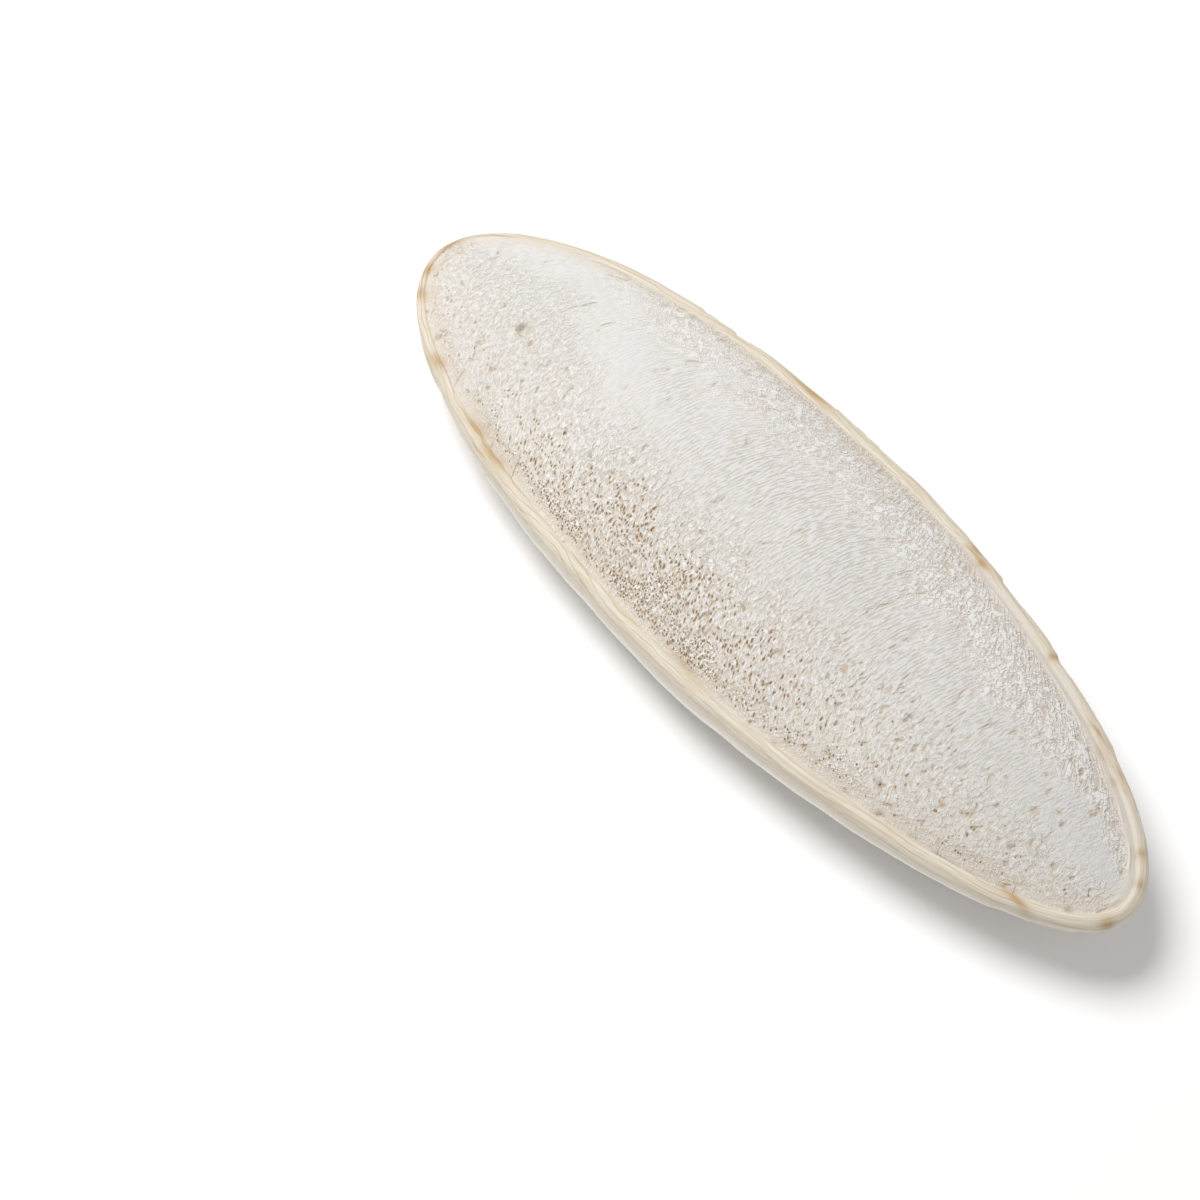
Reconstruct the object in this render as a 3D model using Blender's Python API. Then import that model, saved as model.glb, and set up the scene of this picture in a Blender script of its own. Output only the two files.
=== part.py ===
"""A cuttlebone, lying on its hard back with the white chambered face up.

Metres, Z up. The bone's length runs along X: the blunt front end is at -X and the narrow hind end at +X.
The origin is under the middle of the bone, on the surface that it rests on.
"""
import math

import bmesh
import bpy
from mathutils import Matrix, Vector, noise
from mathutils.bvhtree import BVHTree

# The white face, seen from above.
FACE_LENGTH = 0.163
FACE_WIDTH = 0.0506
WIDEST_AT = 0.007         # the widest place, from the face's middle towards the narrow end
BLUNT_FULLNESS = 2.5      # the outline's exponent towards the blunt end, where 2 would be an ellipse
NARROW_FULLNESS = 1.42
TIP_BEND = 0.0012         # how far both tips bend to the -Y side

# The horny rim around the face.
RIM_WIDTH = 0.0025        # along the sides
RIM_BLUNT_TIP = 0.0012
RIM_NARROW_TIP = 0.0021
RIM_HEIGHT = 0.0120       # the rim's outer edge above the resting surface, at the middle
RIM_CREST = 0.0013        # the rim's inner edge above its outer edge
RIM_GROOVE = 0.0004       # the crevice between the rim and the white face
RIM_SAG = 0.0006          # how much lower the rim is at the tips
RIM_RIPPLE = 0.00025      # how unevenly the outer edge is grown
RIPPLE_LENGTH = 0.008
FLAKE_STEP = 0.0004       # a layer of horn that ends in a step
FLAKE_LENGTH = 0.012
FLAKE_START = 0.08        # how much of a flake's length its step takes
FLAKES_FAR = (-0.043, -0.036, 0.028, 0.044, 0.062)
FLAKES_NEAR = (-0.060, 0.069)

# The white face's bulge, and the broad swells in it.
FACE_RISE = 0.0036
FACE_SHOULDER = 2.6       # how far out the bulge stays high
FACE_SLOPE = 0.8          # and how evenly it falls from there
FACE_SWELL = 0.00035
SWELL_LENGTH = 0.019

# How quickly each of these fades away from where it is strongest.
TIP_FADE = 4
SWELL_FADE = 4
RIB_FADE = 4
FOOT_FADE = 12
CREVICE_FADE = 6
RAGGED_FADE = 8
UPTURN_FADE = 2.4

# The hard back.
BACK_DEPTH = RIM_HEIGHT + 0.0005   # the last half millimetre is worn flat
BACK_SQUARENESS = 3.2     # the cross-section's exponent, where 2 would be an ellipse
BACK_CROWN = 0.12         # how much the middle of the back stands proud
BACK_UPTURN = 0.64        # how much of the depth is lost at the tips
RIB_GROOVE = 0.0006       # the two shallow grooves beside the middle rib
RIB_GROOVE_WIDTH = 0.0032
RIB_HALF_WIDTH = 0.0105
RIB_TAPER = 0.4           # how much the rib narrows towards the narrow end

# The chip near the blunt end and the widest pores: place, size across and depth.
PITS = (
    (-0.0575, -0.0038, 0.0031, 0.0024, 0.0011),
    (-0.0025, 0.0168, 0.0016, 0.0011, 0.0006),
    (0.0395, -0.0051, 0.0013, 0.0011, 0.0006),
    (0.0669, 0.0007, 0.0014, 0.0010, 0.0005),
    (0.0649, -0.0077, 0.0013, 0.0012, 0.0005),
    (0.0180, -0.0130, 0.0012, 0.0010, 0.0005),
)

# The mesh: rings from the middle of the face, over the rim, to the middle of the back.
COLUMNS = 112
FACE_RINGS = 19
RIM_RINGS = 6
BACK_RINGS = 16
RINGS = FACE_RINGS + RIM_RINGS + BACK_RINGS
EVEN_SPACING = 0.3        # moves columns from the tips to the sides
RING_SPACING = 1.2        # and rings towards the rim

HALF_FACE = 0.5 * FACE_LENGTH
FACE_SHIFT = 0.5 * (RIM_BLUNT_TIP - RIM_NARROW_TIP)
HALF_LENGTH = HALF_FACE + 0.5 * (RIM_BLUNT_TIP + RIM_NARROW_TIP)
SMALL_TURN = 0.01
SHARP_ANGLE = math.radians(35.0)


def clear_scene():
    for old in list(bpy.data.objects):
        bpy.data.objects.remove(old, do_unlink=True)


def collection(name):
    group = bpy.data.collections.new(name)
    bpy.context.scene.collection.children.link(group)
    return group


def face_edge(turn):
    """The white face's edge, at an angle counted from the narrow tip."""
    x = HALF_FACE * math.cos(turn)
    towards_narrow = x > WIDEST_AT
    reach = HALF_FACE - WIDEST_AT if towards_narrow else HALF_FACE + WIDEST_AT
    fullness = NARROW_FULLNESS if towards_narrow else BLUNT_FULLNESS
    share = min(1.0, abs(x - WIDEST_AT) / reach)
    half_width = 0.5 * FACE_WIDTH * math.sqrt(1.0 - share ** fullness)
    return Vector((x + FACE_SHIFT, math.copysign(half_width, math.sin(turn)), 0.0))


def outward(turn):
    """The direction that points out of the face's edge."""
    along = face_edge(turn + SMALL_TURN) - face_edge(turn - SMALL_TURN)
    return Vector((along.y, -along.x, 0.0)).normalized()


def flake_loss(edge):
    """How much narrower the rim is where layers of horn end in a step."""
    flakes = FLAKES_FAR if edge.y > 0.0 else FLAKES_NEAR
    loss = 0.0
    for start in flakes:
        past = (edge.x - start) / FLAKE_LENGTH
        loss += FLAKE_STEP * max(0.0, min(1.0 + past / FLAKE_START, 1.0 - past))
    return loss


def rim_edge(turn, raggedness=1.0):
    """The rim's outer edge, beside the same place on the face's edge."""
    edge = face_edge(turn)
    tip = math.cos(turn) ** TIP_FADE
    at_tip = RIM_NARROW_TIP if math.cos(turn) > 0.0 else RIM_BLUNT_TIP
    width = RIM_WIDTH + (at_tip - RIM_WIDTH) * tip
    ragged = RIM_RIPPLE * noise.noise(edge / RIPPLE_LENGTH) - flake_loss(edge)
    return edge + outward(turn) * (width + ragged * (1.0 - tip) * raggedness)


def rim_level(x):
    """The height of the rim's outer edge along the bone."""
    return RIM_HEIGHT - RIM_SAG * (x / HALF_LENGTH) ** 2


def face_point(turn, share):
    """A point on the white face, from its middle (share 0) to its edge (share 1)."""
    flat = face_edge(turn) * share
    rise = FACE_RISE * (1.0 - share ** FACE_SHOULDER) ** FACE_SLOPE
    swell = FACE_SWELL * noise.noise(flat / SWELL_LENGTH) * (1.0 - share ** SWELL_FADE)
    foot = RIM_CREST - RIM_GROOVE * share ** FOOT_FADE
    return Vector((flat.x, flat.y, rim_level(flat.x) + foot + rise + swell))


def rim_point(turn, share):
    """A point on the rim's rounded top, from the face (share 0) to the outer edge (share 1)."""
    flat = face_edge(turn).lerp(rim_edge(turn), share)
    crest = RIM_CREST * math.sqrt(1.0 - share ** 2)
    groove = RIM_GROOVE * (1.0 - share) ** CREVICE_FADE
    return Vector((flat.x, flat.y, rim_level(flat.x) + crest - groove))


def rib_groove(flat):
    """How deep the grooves beside the middle rib are at a place on the back."""
    along = flat.x / HALF_LENGTH
    from_groove = abs(flat.y) - RIB_HALF_WIDTH * (1.0 - RIB_TAPER * along)
    return RIB_GROOVE * math.exp(-(from_groove / RIB_GROOVE_WIDTH) ** 2) * (1.0 - along ** RIB_FADE)


def back_point(turn, share):
    """A point on the back, from the rim's outer edge (share 0) to the middle of the back (share 1)."""
    slope = 0.5 * math.pi * share ** RING_SPACING
    inward = max(0.0, math.cos(slope)) ** (2.0 / BACK_SQUARENESS)
    down = math.sin(slope) ** (2.0 / BACK_SQUARENESS)
    flat = rim_edge(turn, raggedness=inward ** RAGGED_FADE) * inward
    upturn = 1.0 - BACK_UPTURN * abs(flat.x / HALF_LENGTH) ** UPTURN_FADE
    crown = 1.0 - BACK_CROWN * inward ** 2
    drop = BACK_DEPTH * down * upturn * crown
    return Vector((flat.x, flat.y, rim_level(flat.x) - drop + rib_groove(flat) * down))


def bone_point(turn, ring):
    """Where a vertex goes, by its angle around the bone and its ring."""
    if ring <= FACE_RINGS:
        point = face_point(turn, ring / FACE_RINGS)
    elif ring <= FACE_RINGS + RIM_RINGS:
        point = rim_point(turn, (ring - FACE_RINGS) / RIM_RINGS)
    else:
        point = back_point(turn, (ring - FACE_RINGS - RIM_RINGS) / BACK_RINGS)
    point.y -= TIP_BEND * (point.x / HALF_LENGTH) ** TIP_FADE
    return point


def shape_bone(bm):
    """A sphere whose rings become the face, the rim and the back, worn flat where it rests."""
    bmesh.ops.create_uvsphere(bm, u_segments=COLUMNS, v_segments=RINGS, radius=1.0)
    for vertex in bm.verts:
        around = math.atan2(vertex.co.y, vertex.co.x)
        turn = around + 0.5 * EVEN_SPACING * math.sin(2.0 * around)
        from_top = math.acos(max(-1.0, min(1.0, vertex.co.z)))
        vertex.co = bone_point(turn, round(from_top / math.pi * RINGS))
    everything = bm.verts[:] + bm.edges[:] + bm.faces[:]
    cut = bmesh.ops.bisect_plane(
        bm, geom=everything, dist=1e-6, plane_co=(0.0, 0.0, 0.0), plane_no=(0.0, 0.0, -1.0), clear_outer=True
    )
    cut_edges = [part for part in cut["geom_cut"] if isinstance(part, bmesh.types.BMEdge)]
    bmesh.ops.contextual_create(bm, geom=cut_edges)
    bmesh.ops.recalc_face_normals(bm, faces=bm.faces[:])


def add_pit_cutters(bm, group):
    """Small rounded bodies, sunk in the face where it is chipped or has its widest pores."""
    surface = BVHTree.FromBMesh(bm)
    cutter_mesh = bmesh.new()
    for x, y, length, width, depth in PITS:
        hit, normal, _, _ = surface.ray_cast(Vector((x, y, 0.1)), Vector((0.0, 0.0, -1.0)))
        stance = normal.to_track_quat("Z", "Y").to_matrix().to_4x4()
        size = Matrix.Diagonal((0.5 * length, 0.5 * width, depth, 1.0))
        place = Matrix.Translation(hit) @ stance @ size
        bmesh.ops.create_icosphere(cutter_mesh, subdivisions=2, radius=1.0, matrix=place)
    mesh = bpy.data.meshes.new("pit_cutters")
    cutter_mesh.to_mesh(mesh)
    cutter_mesh.free()
    cutters = bpy.data.objects.new("pit_cutters", mesh)
    cutters.hide_render = True
    cutters.display_type = "WIRE"
    group.objects.link(cutters)
    return cutters


def bone_material():
    material = bpy.data.materials.new("bone")
    material.use_nodes = True
    shader = material.node_tree.nodes["Principled BSDF"]
    shader.inputs["Base Color"].default_value = (0.80, 0.765, 0.70, 1.0)
    shader.inputs["Roughness"].default_value = 0.85
    shader.inputs["Metallic"].default_value = 0.0
    return material


def build():
    clear_scene()
    bone_group = collection("cuttlebone")
    cutter_group = collection("cutters")
    bm = bmesh.new()
    shape_bone(bm)
    mesh = bpy.data.meshes.new("cuttlebone")
    bm.to_mesh(mesh)
    bone = bpy.data.objects.new("cuttlebone", mesh)
    bone_group.objects.link(bone)
    mesh.materials.append(bone_material())
    mesh.shade_smooth()
    mesh.set_sharp_from_angle(angle=SHARP_ANGLE)
    chipping = bone.modifiers.new("chips", "BOOLEAN")
    chipping.operation = "DIFFERENCE"
    chipping.solver = "EXACT"
    chipping.object = add_pit_cutters(bm, cutter_group)
    bm.free()


build()
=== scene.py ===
import math

import bpy
import numpy as np
from mathutils import Matrix, Vector, noise
from mathutils.kdtree import KDTree


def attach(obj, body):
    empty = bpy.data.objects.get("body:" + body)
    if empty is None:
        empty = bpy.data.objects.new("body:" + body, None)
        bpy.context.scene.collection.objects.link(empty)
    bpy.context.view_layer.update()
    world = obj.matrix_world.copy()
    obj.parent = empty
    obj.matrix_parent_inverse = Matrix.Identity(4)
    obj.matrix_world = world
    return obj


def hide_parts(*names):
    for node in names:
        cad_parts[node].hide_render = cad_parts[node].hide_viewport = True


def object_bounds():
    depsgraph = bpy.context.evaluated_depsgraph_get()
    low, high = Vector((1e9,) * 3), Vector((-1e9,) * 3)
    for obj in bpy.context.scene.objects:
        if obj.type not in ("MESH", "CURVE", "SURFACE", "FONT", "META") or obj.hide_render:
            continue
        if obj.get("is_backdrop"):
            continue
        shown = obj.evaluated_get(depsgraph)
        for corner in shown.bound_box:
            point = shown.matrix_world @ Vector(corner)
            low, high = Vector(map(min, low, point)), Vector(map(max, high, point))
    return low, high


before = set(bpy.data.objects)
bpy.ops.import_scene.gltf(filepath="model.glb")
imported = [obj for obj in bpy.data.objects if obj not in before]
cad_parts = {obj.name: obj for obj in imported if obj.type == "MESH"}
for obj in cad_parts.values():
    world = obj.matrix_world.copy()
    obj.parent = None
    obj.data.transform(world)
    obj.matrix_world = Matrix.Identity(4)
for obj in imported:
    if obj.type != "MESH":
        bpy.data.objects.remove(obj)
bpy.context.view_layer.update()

# The bone's shape
#
# A cuttlebone is one piece: chalk, grown in thousands of thin floors on a hard shield, with a horny rim.
# It lies on the shield with the white face up. The blunt front end is at -X, the narrow hind end at +X.
FACE_LENGTH = 0.163
FACE_WIDTH = 0.0506
WIDEST_AT = 0.007         # the widest place, from the face's middle towards the narrow end
BLUNT_FULLNESS = 2.5      # the outline's exponent towards the blunt end, where 2 would be an ellipse
NARROW_FULLNESS = 1.42
TIP_BEND = 0.0012         # how far both tips bend to the -Y side
FACE_RISE = 0.0036
FACE_SHOULDER = 2.6       # how far out the bulge stays high
FACE_SLOPE = 0.8          # and how evenly it falls from there
FACE_SWELL = 0.00035
SWELL_LENGTH = 0.019

RIM_WIDTH = 0.0025
RIM_BLUNT_TIP = 0.0012
RIM_NARROW_TIP = 0.0021
RIM_HEIGHT = 0.0120       # the rim's outer edge above the floor, at the middle
RIM_CREST = 0.0013        # the rim's inner edge above its outer edge
RIM_GROOVE = 0.0004       # the crevice between the rim and the white face
RIM_SAG = 0.0006          # how much lower the rim is at the tips
RIM_RIPPLE = 0.00025      # how unevenly the outer edge is grown
RIPPLE_LENGTH = 0.008
FLAKE_STEP = 0.0004       # a layer of horn that ends in a step
FLAKE_LENGTH = 0.012
FLAKE_START = 0.08        # how much of a flake's length its step takes
FLAKES_FAR = (-0.043, -0.036, 0.028, 0.044, 0.062)
FLAKES_NEAR = (-0.060, 0.069)

BACK_DEPTH = RIM_HEIGHT + 0.0005   # the last half millimetre is worn flat
BACK_SQUARENESS = 3.2     # the cross-section's exponent, where 2 would be an ellipse
BACK_CROWN = 0.12         # how much the middle of the back stands proud
BACK_UPTURN = 0.64        # how much of the depth is lost at the tips
RIB_GROOVE = 0.0006       # the two shallow grooves beside the middle rib
RIB_GROOVE_WIDTH = 0.0032
RIB_HALF_WIDTH = 0.0105
RIB_TAPER = 0.4           # how much the rib narrows towards the narrow end

# How quickly each of these fades away from where it is strongest.
TIP_FADE = 4
SWELL_FADE = 4
RIB_FADE = 4
FOOT_FADE = 12
CREVICE_FADE = 6
RAGGED_FADE = 8
UPTURN_FADE = 2.4

HALF_FACE = 0.5 * FACE_LENGTH
FACE_SHIFT = 0.5 * (RIM_BLUNT_TIP - RIM_NARROW_TIP)
HALF_LENGTH = HALF_FACE + 0.5 * (RIM_BLUNT_TIP + RIM_NARROW_TIP)
SMALL_TURN = 0.01         # radians, to tell which way the edge runs


def perlin(places, length):
    """Smooth noise from -1 to 1 at each place, with lumps of about the given length."""
    wide = np.zeros((len(places), 3))
    wide[:, : places.shape[1]] = places / length
    return np.array([noise.noise(Vector(place)) for place in wide])


def face_edge(turn):
    """The white face's edge, at angles counted from the narrow tip."""
    x = HALF_FACE * np.cos(turn)
    towards_narrow = x > WIDEST_AT
    reach = np.where(towards_narrow, HALF_FACE - WIDEST_AT, HALF_FACE + WIDEST_AT)
    fullness = np.where(towards_narrow, NARROW_FULLNESS, BLUNT_FULLNESS)
    share = np.minimum(1.0, np.abs(x - WIDEST_AT) / reach)
    half_width = 0.5 * FACE_WIDTH * np.sqrt(1.0 - share ** fullness)
    return np.column_stack((x + FACE_SHIFT, np.copysign(half_width, np.sin(turn))))


def outward(turn):
    """The way straight out from the face's edge."""
    along = face_edge(turn + SMALL_TURN) - face_edge(turn - SMALL_TURN)
    away = np.column_stack((along[:, 1], -along[:, 0]))
    return away / np.linalg.norm(away, axis=1, keepdims=True)


def flake_loss(edge):
    """How much narrower the rim is where layers of horn end in a step."""
    loss = np.zeros(len(edge))
    for starts, side in ((FLAKES_FAR, edge[:, 1] > 0.0), (FLAKES_NEAR, edge[:, 1] <= 0.0)):
        for start in starts:
            past = (edge[:, 0] - start) / FLAKE_LENGTH
            step = np.interp(past, (-FLAKE_START, 0.0, 1.0), (0.0, 1.0, 0.0))
            loss += np.where(side, FLAKE_STEP * step, 0.0)
    return loss


def rim_edge(turn, raggedness=1.0):
    """The rim's outer edge, seen from above."""
    edge = face_edge(turn)
    tip = np.cos(turn) ** TIP_FADE
    at_tip = np.where(np.cos(turn) > 0.0, RIM_NARROW_TIP, RIM_BLUNT_TIP)
    width = RIM_WIDTH + (at_tip - RIM_WIDTH) * tip
    ragged = RIM_RIPPLE * perlin(edge, RIPPLE_LENGTH) - flake_loss(edge)
    return edge + outward(turn) * (width + ragged * (1.0 - tip) * raggedness)[:, None]


def rim_level(x):
    return RIM_HEIGHT - RIM_SAG * (x / HALF_LENGTH) ** 2


def bent(x, y, z):
    """Bends both tips a little to the -Y side, and gives the points as rows."""
    return np.column_stack((x, y - TIP_BEND * (x / HALF_LENGTH) ** TIP_FADE, z))


def face_points(turn, share):
    """The white face, from its middle (share 0) to its edge (share 1)."""
    flat = face_edge(turn) * share[:, None]
    rise = FACE_RISE * np.maximum(0.0, 1.0 - share ** FACE_SHOULDER) ** FACE_SLOPE
    swell = FACE_SWELL * perlin(flat, SWELL_LENGTH) * (1.0 - share ** SWELL_FADE)
    foot = RIM_CREST - RIM_GROOVE * share ** FOOT_FADE
    return bent(flat[:, 0], flat[:, 1], rim_level(flat[:, 0]) + foot + rise + swell)


def rim_points(turn, share):
    """The rim's rounded top, from the face (share 0) to the outer edge (share 1)."""
    flat = face_edge(turn) * (1.0 - share) + rim_edge(turn) * share
    crest = RIM_CREST * math.sqrt(1.0 - share ** 2)
    groove = RIM_GROOVE * (1.0 - share) ** CREVICE_FADE
    return bent(flat[:, 0], flat[:, 1], rim_level(flat[:, 0]) + crest - groove)


def back_points(turn, inward):
    """The hard back, from the rim's outer edge (inward 1) to the middle of the back (inward 0)."""
    inward = np.broadcast_to(inward, turn.shape)
    down = np.maximum(0.0, 1.0 - inward ** BACK_SQUARENESS) ** (1.0 / BACK_SQUARENESS)
    flat = rim_edge(turn, raggedness=inward ** RAGGED_FADE) * inward[:, None]
    x, y = flat.T
    along = x / HALF_LENGTH
    upturn = 1.0 - BACK_UPTURN * np.abs(along) ** UPTURN_FADE
    crown = 1.0 - BACK_CROWN * inward ** 2
    from_groove = np.abs(y) - RIB_HALF_WIDTH * (1.0 - RIB_TAPER * along)
    groove = RIB_GROOVE * np.exp(-(from_groove / RIB_GROOVE_WIDTH) ** 2) * (1.0 - along ** RIB_FADE)
    z = rim_level(x) - BACK_DEPTH * down * upturn * crown + groove * down
    return bent(x, y, np.maximum(0.0, z))


# The bone's mesh
#
# The face is a close grid, bent to the outline, because it holds the finest relief. Rings run from its edge
# over the rim and down the side, with half as many columns and then a quarter. A coarse grid closes the back.
GRID_LONG = 720
GRID_WIDE = 104
GRID_CROWDING = 0.15      # how much closer the rows are towards -Y, where the pores are
RIM_RINGS = 8
SIDE_RINGS = 12
SIDE_SPREAD = 1.6         # the exponent that spreads the side's rings evenly down it
LOW_RINGS = 6
SIDE_ENDS = 0.93          # how far in the side's rings reach, as a share of the half width
LOW_ENDS = 0.80
BACK_LONG = GRID_LONG // 4
BACK_WIDE = GRID_WIDE // 4


def disc_grid(long, wide, crowding=0.0):
    """A grid bent to a round disc, as angles and distances from the middle. Rows crowd towards -Y."""
    u, v = np.meshgrid(np.linspace(-1.0, 1.0, long + 1), np.linspace(-1.0, 1.0, wide + 1))
    v = v - crowding * (1.0 - v ** 2)
    x = (u * np.sqrt(1.0 - 0.5 * v ** 2)).ravel()
    y = (v * np.sqrt(1.0 - 0.5 * u ** 2)).ravel()
    return np.arctan2(y, x), np.minimum(1.0, np.hypot(x, y))


def border(long, wide):
    """The grid's outer points in order, once around."""
    row = long + 1
    right = [j * row + long for j in range(wide)]
    top = [wide * row + i for i in range(long, 0, -1)]
    left = [j * row for j in range(wide, 0, -1)]
    bottom = list(range(long))
    return right + top + left + bottom


def grid_faces(index, long, wide):
    """The faces of a grid whose points have the given numbers."""
    row = long + 1
    faces = []
    for j in range(wide):
        for i in range(long):
            corner = j * row + i
            faces.append([index[corner], index[corner + 1], index[corner + row + 1], index[corner + row]])
    return faces


def strip(inner, outer):
    """Faces between two rings, or from a ring to one with half as many points."""
    faces = []
    n = len(outer)
    for k in range(n):
        b0, b1 = outer[k], outer[(k + 1) % n]
        if len(inner) == n:
            faces.append([inner[k], b0, b1, inner[(k + 1) % n]])
        else:
            a0, a1, a2 = inner[2 * k], inner[2 * k + 1], inner[(2 * k + 2) % len(inner)]
            faces += [[a0, b0, a1], [a1, b0, b1], [a1, b1, a2]]
    return faces


turn, share = disc_grid(GRID_LONG, GRID_WIDE, GRID_CROWDING)
points = face_points(turn, share)
faces = grid_faces(range(len(turn)), GRID_LONG, GRID_WIDE)
ring = border(GRID_LONG, GRID_WIDE)
edge_turn = turn[ring]
edge = points[ring]

# Past is the distance outwards from the face's edge, along the surface, and less than 0 on the face. Over
# counts from 0 on the face to 1 at the rim's outer edge, 2 where the side ends and 4 on the back.
ON_BACK = 4.0
edge_tree = KDTree(len(edge))
for number, place in enumerate(edge):
    edge_tree.insert(place, number)
edge_tree.balance()
past = np.array([-edge_tree.find(place)[2] for place in points])
past[ring] = 0.0
over = np.zeros(len(points))
sheet = points[:, :2].copy()


def add_ring(made, ring_turn, over_here):
    """Adds one ring of points outside the last one, laid out flat in the sheet too."""
    global points, ring, past, over, sheet
    step = len(ring) // len(made)
    before = np.array(ring)[::step]
    away = np.linalg.norm(made - points[before], axis=1)
    new = list(range(len(points), len(points) + len(made)))
    faces.extend(strip(ring, new))
    sheet = np.vstack((sheet, sheet[before] + outward(ring_turn) * away[:, None]))
    past = np.concatenate((past, past[before] + away))
    over = np.concatenate((over, np.full(len(made), over_here)))
    points = np.vstack((points, made))
    ring = new


side_turn = edge_turn[::2]
for k in range(1, RIM_RINGS + 1):
    add_ring(rim_points(side_turn, k / RIM_RINGS), side_turn, k / RIM_RINGS)
for k in range(1, SIDE_RINGS + 1):
    inward = 1.0 - (1.0 - SIDE_ENDS) * (k / SIDE_RINGS) ** SIDE_SPREAD
    add_ring(back_points(side_turn, inward), side_turn, 1.0 + k / SIDE_RINGS)
faces_above = len(faces)
low_turn = side_turn[::2]
for k in range(1, LOW_RINGS + 1):
    inward = SIDE_ENDS + (LOW_ENDS - SIDE_ENDS) * k / LOW_RINGS
    add_ring(back_points(low_turn, inward), low_turn, 2.0 + k / LOW_RINGS)

back_turn, back_share = disc_grid(BACK_LONG, BACK_WIDE)
back_border = border(BACK_LONG, BACK_WIDE)
inside = np.ones(len(back_turn), bool)
inside[back_border] = False
index = np.zeros(len(back_turn), int)
index[back_border] = ring
index[inside] = len(points) + np.arange(inside.sum())
made = back_points(back_turn[inside], back_share[inside] * LOW_ENDS)
faces += [quad[::-1] for quad in grid_faces(index.tolist(), BACK_LONG, BACK_WIDE)]
past = np.concatenate((past, np.full(len(made), past[ring].mean())))
over = np.concatenate((over, np.full(len(made), ON_BACK)))
sheet = np.vstack((sheet, made[:, :2]))
points = np.vstack((points, made))

mesh = bpy.data.meshes.new("bone")
mesh.from_pydata(points.tolist(), [], faces)
bone = bpy.data.objects.new("bone", mesh)
bpy.context.scene.collection.objects.link(bone)

# One map holds the face, the rim and the side, laid out flat, and below them the back, as seen from beneath.
SHEET_SPLIT = 0.32        # the share of the map's height that the back takes
SHEET_MARGIN = 0.006
SHEET_END = 1.0 - SHEET_MARGIN
FROM_BENEATH = (1.0, -1.0)


def fitted(flat, low_corner, high_corner):
    """Stretches flat places to a part of the map."""
    low, high = flat.min(axis=0), flat.max(axis=0)
    low_corner, high_corner = np.array(low_corner), np.array(high_corner)
    return low_corner + (flat - low) / (high - low) * (high_corner - low_corner)


corners = np.concatenate([np.array(face) for face in faces])
above = np.concatenate([np.full(len(face), number < faces_above) for number, face in enumerate(faces)])
upper = sheet[corners[above]]
under = points[corners[~above]][:, :2] * FROM_BENEATH
layout = np.zeros((len(corners), 2))
layout[above] = fitted(upper, (SHEET_MARGIN, SHEET_SPLIT + SHEET_MARGIN), (SHEET_END, SHEET_END))
layout[~above] = fitted(under, (SHEET_MARGIN, SHEET_MARGIN), (SHEET_END, SHEET_SPLIT - SHEET_MARGIN))
mesh.uv_layers.new(name="OFBake").data.foreach_set("uv", layout.astype(np.float32).ravel())

# What the marks follow
#
# Each point keeps its measures for the marks, in millimetres but for across and over. Growth is the place
# with the bow of the growth lines taken out, so that each line keeps to one X. Across counts from -1 at the
# -Y edge of the face to 1 at the +Y edge.
MM = 1000.0
FAR_BEND = 0.0150         # how strongly the growth lines bow, beyond the middle and before it
NEAR_BEND = 0.0145
FAR_CURL = 0.004          # and how they curl to the side towards the far edge
CURL_FROM = 10.0
LEAST_HALF_WIDTH = 0.002  # that across is measured against, near the tips
MOST_ACROSS = 1.2

# The chip near the blunt end and the widest pits: place along and across the bone, length, width and depth.
PITS = (
    (-0.0575, -0.0038, 0.0031, 0.0024, 0.0011),
    (-0.0025, 0.0168, 0.0016, 0.0011, 0.0006),
    (0.0395, -0.0051, 0.0013, 0.0011, 0.0006),
    (0.0669, 0.0007, 0.0014, 0.0010, 0.0005),
    (0.0649, -0.0077, 0.0013, 0.0012, 0.0005),
    (0.0180, -0.0130, 0.0012, 0.0010, 0.0005),
)
PIT_FLOOR = 0.15          # how broad a pit's flat floor is
PIT_WALL = 0.5            # how steep its wall is, where 1 would be a cone's

# Amber stains, most of them where layers of horn end, and one in the chip: place along and across the bone,
# and reach along and across it.
STAINS = (
    (-0.0573, -0.0049, 0.0010, 0.0004),
    (-0.0830, -0.0013, 0.0012, 0.0030),
    (-0.0802, -0.0074, 0.0012, 0.0020),
    (-0.0768, -0.0113, 0.0020, 0.0014),
    (-0.0630, -0.0180, 0.0018, 0.0012),
    (-0.0473, -0.0212, 0.0030, 0.0010),
    (-0.0412, -0.0230, 0.0038, 0.0011),
    (-0.0187, 0.0260, 0.0040, 0.0008),
    (0.0214, 0.0254, 0.0016, 0.0008),
    (0.0239, 0.0243, 0.0012, 0.0008),
    (0.0436, 0.0209, 0.0008, 0.0010),
    (0.0455, 0.0216, 0.0018, 0.0003),
    (0.0606, 0.0152, 0.0009, 0.0011),
    (0.0580, 0.0170, 0.0024, 0.0004),
    (0.0656, 0.0131, 0.0009, 0.0012),
    (0.0636, 0.0146, 0.0018, 0.0004),
    (0.0768, 0.0072, 0.0009, 0.0011),
    (0.0802, 0.0035, 0.0009, 0.0009),
    (0.0820, -0.0046, 0.0010, 0.0012),
    (0.0090, -0.0246, 0.0040, 0.0006),
    (0.0710, -0.0125, 0.0030, 0.0006),
)


def keep(name, values):
    """Stores a number or a vector for each point."""
    kind = "FLOAT" if values.ndim == 1 else "FLOAT_VECTOR"
    held = mesh.attributes.new(name, kind, "POINT")
    held.data.foreach_set("value" if kind == "FLOAT" else "vector", values.astype(np.float32).ravel())


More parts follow.
